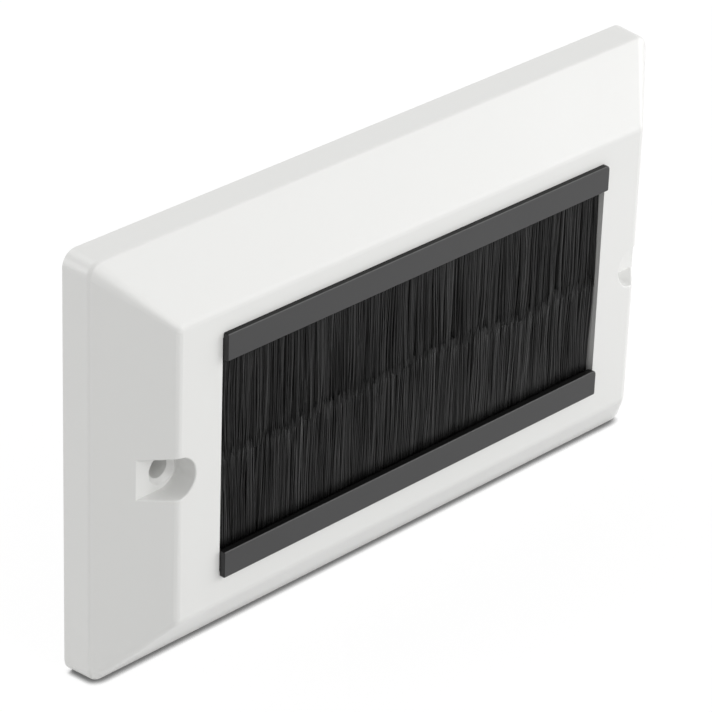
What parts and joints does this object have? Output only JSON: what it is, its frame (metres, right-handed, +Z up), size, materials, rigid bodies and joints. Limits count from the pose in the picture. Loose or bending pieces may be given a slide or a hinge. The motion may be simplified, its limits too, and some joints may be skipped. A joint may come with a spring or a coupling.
{
  "type": "brush cable cover",
  "caption": "Bevelled white double wall plate with a wide slot closed by two black brush strips that meet in the middle, for passing cables through a wall.",
  "frame": {"origin": "middle of the plate's back face, on the wall, halfway between the two fixing holes", "axes": "+X to the right seen from the front, +Y into the wall, +Z up; the front faces -Y"},
  "size_m": [0.146, 0.0179, 0.086],
  "materials": {
    "white_plastic": "satin moulded white",
    "black_plastic": "satin moulded black",
    "strip_metal": "galvanised folded sheet",
    "wire_metal": "drawn wire",
    "bristle_fibre": "fine black filaments"
  },
  "bodies": {
    "root": {"faceplate": "white_plastic", "upper_holder": "black_plastic", "lower_holder": "black_plastic", "upper_channel": "strip_metal", "lower_channel": "strip_metal", "upper_wire": "wire_metal", "lower_wire": "wire_metal", "upper_bristles": "bristle_fibre", "lower_bristles": "bristle_fibre"}
  },
  "joints": []
}
